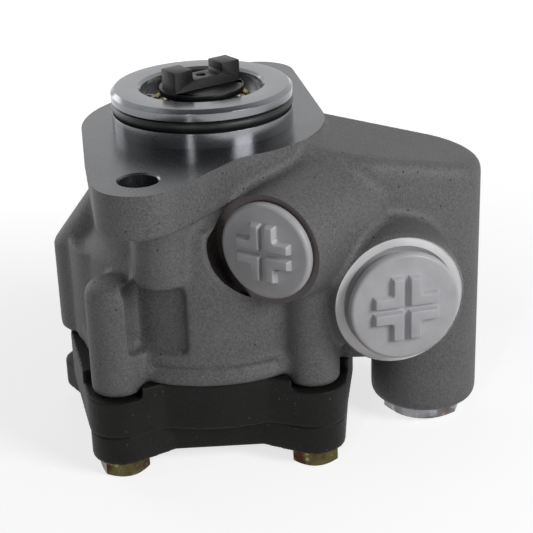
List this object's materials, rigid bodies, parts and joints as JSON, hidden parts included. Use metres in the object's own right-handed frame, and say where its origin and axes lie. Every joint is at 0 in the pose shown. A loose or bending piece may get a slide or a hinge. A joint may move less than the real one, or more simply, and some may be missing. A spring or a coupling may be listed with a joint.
{
  "type": "power steering pump",
  "caption": "Vane pump for hydraulic power steering with a mounting flange, grooved centring spigot, claw drive, plugged side ports and an upright flow-control valve.",
  "frame": {"origin": "centre of the mounting flange's machined face, on the drive shaft's axis", "axes": "+Z along the drive shaft out of the pump, through spigot and claw; +X towards the flow-control valve; -Y towards the inlet side with the two ports"},
  "size_m": [0.1275, 0.1202, 0.1115],
  "materials": {
    "cast_aluminium": "blasted casting, machined flange and spigot",
    "dark_casting": "dark blasted casting",
    "yellow_zinc_steel": "yellow-passivated zinc",
    "bright_zinc_steel": "bright zinc",
    "phosphated_steel": "dark phosphated",
    "ground_steel": "ground",
    "bearing_steel": "polished",
    "sintered_steel": "sintered and lapped",
    "spring_steel": "bright wire",
    "sheet_brass": "pressed",
    "bush_bronze": "plain bearing bronze",
    "black_rubber": "moulded",
    "milky_plastic": "moulded, slightly translucent"
  },
  "bodies": {
    "pump_body": {"housing": "cast_aluminium", "rear_body": "dark_casting", "rear_cover": "dark_casting", "cover_bolts": "yellow_zinc_steel", "bearing_outer_ring": "bearing_steel", "circlip": "phosphated_steel", "shaft_seal": "black_rubber", "front_bush": "bush_bronze", "rear_bush": "bush_bronze", "cam_ring": "ground_steel", "front_plate": "sintered_steel", "rear_plate": "sintered_steel", "dowel_pins": "bearing_steel", "pressure_spring": "spring_steel", "pilot_o_ring": "black_rubber", "body_o_ring": "black_rubber", "cover_o_ring": "black_rubber", "plug_o_ring": "black_rubber", "spool_spring": "spring_steel", "valve_plug": "bright_zinc_steel", "outlet_plug": "milky_plastic", "inlet_plug": "milky_plastic"},
    "drive": {"shaft": "ground_steel", "claw_coupling": "phosphated_steel", "bearing_inner_ring": "bearing_steel", "rotor": "ground_steel"},
    "ball_cage": {"bearing_cage": "sheet_brass", "bearing_balls": "bearing_steel"},
    "spool": {"spool": "ground_steel", "relief_seat": "ground_steel", "relief_spring": "spring_steel"},
    "relief_ball": {"relief_ball": "bearing_steel"},
    "vane_1": {"vane_1": "bearing_steel"},
    "vane_2": {"vane_2": "bearing_steel"},
    "vane_3": {"vane_3": "bearing_steel"},
    "vane_4": {"vane_4": "bearing_steel"},
    "vane_5": {"vane_5": "bearing_steel"},
    "vane_6": {"vane_6": "bearing_steel"},
    "vane_7": {"vane_7": "bearing_steel"},
    "vane_8": {"vane_8": "bearing_steel"},
    "vane_9": {"vane_9": "bearing_steel"},
    "vane_10": {"vane_10": "bearing_steel"}
  },
  "joints": [
    {"name": "shaft_spin", "type": "hinge", "parent": "pump_body", "child": "drive", "pos_m": [0, 0, 0], "axis": [0, 0, 1], "continuous": true},
    {"name": "cage_spin", "type": "hinge", "parent": "pump_body", "child": "ball_cage", "pos_m": [0, 0, 0], "axis": [0, 0, 1], "continuous": true},
    {"name": "spool_slide", "type": "slide", "parent": "pump_body", "child": "spool", "axis": [0, 0, -1], "range_m": [0, 0.006], "stiffness_N_per_m": 6000, "springref_m": -0.005, "deforming": ["spool_spring"]},
    {"name": "relief_slide", "type": "slide", "parent": "spool", "child": "relief_ball", "axis": [0, 0, 1], "range_m": [0, 0.002], "stiffness_N_per_m": 9000, "springref_m": -0.003, "deforming": ["relief_spring"]},
    {"name": "vane_1_slide", "type": "slide", "parent": "drive", "child": "vane_1", "axis": [1, 0, 0], "range_m": [-0.0018, 0]},
    {"name": "vane_2_slide", "type": "slide", "parent": "drive", "child": "vane_2", "axis": [0.809, 0.5878, 0], "range_m": [-0.0018, 0]},
    {"name": "vane_3_slide", "type": "slide", "parent": "drive", "child": "vane_3", "axis": [0.309, 0.9511, 0], "range_m": [-0.0018, 0]},
    {"name": "vane_4_slide", "type": "slide", "parent": "drive", "child": "vane_4", "axis": [-0.309, 0.9511, 0], "range_m": [-0.0018, 0]},
    {"name": "vane_5_slide", "type": "slide", "parent": "drive", "child": "vane_5", "axis": [-0.809, 0.5878, 0], "range_m": [-0.0018, 0]},
    {"name": "vane_6_slide", "type": "slide", "parent": "drive", "child": "vane_6", "axis": [-1, 0, 0], "range_m": [-0.0018, 0]},
    {"name": "vane_7_slide", "type": "slide", "parent": "drive", "child": "vane_7", "axis": [-0.809, -0.5878, 0], "range_m": [-0.0018, 0]},
    {"name": "vane_8_slide", "type": "slide", "parent": "drive", "child": "vane_8", "axis": [-0.309, -0.9511, 0], "range_m": [-0.0018, 0]},
    {"name": "vane_9_slide", "type": "slide", "parent": "drive", "child": "vane_9", "axis": [0.309, -0.9511, 0], "range_m": [-0.0018, 0]},
    {"name": "vane_10_slide", "type": "slide", "parent": "drive", "child": "vane_10", "axis": [0.809, -0.5878, 0], "range_m": [-0.0018, 0]}
  ],
  "couplings": [
    {"joint": "cage_spin", "follows": "shaft_spin", "ratio": 0.382}
  ]
}
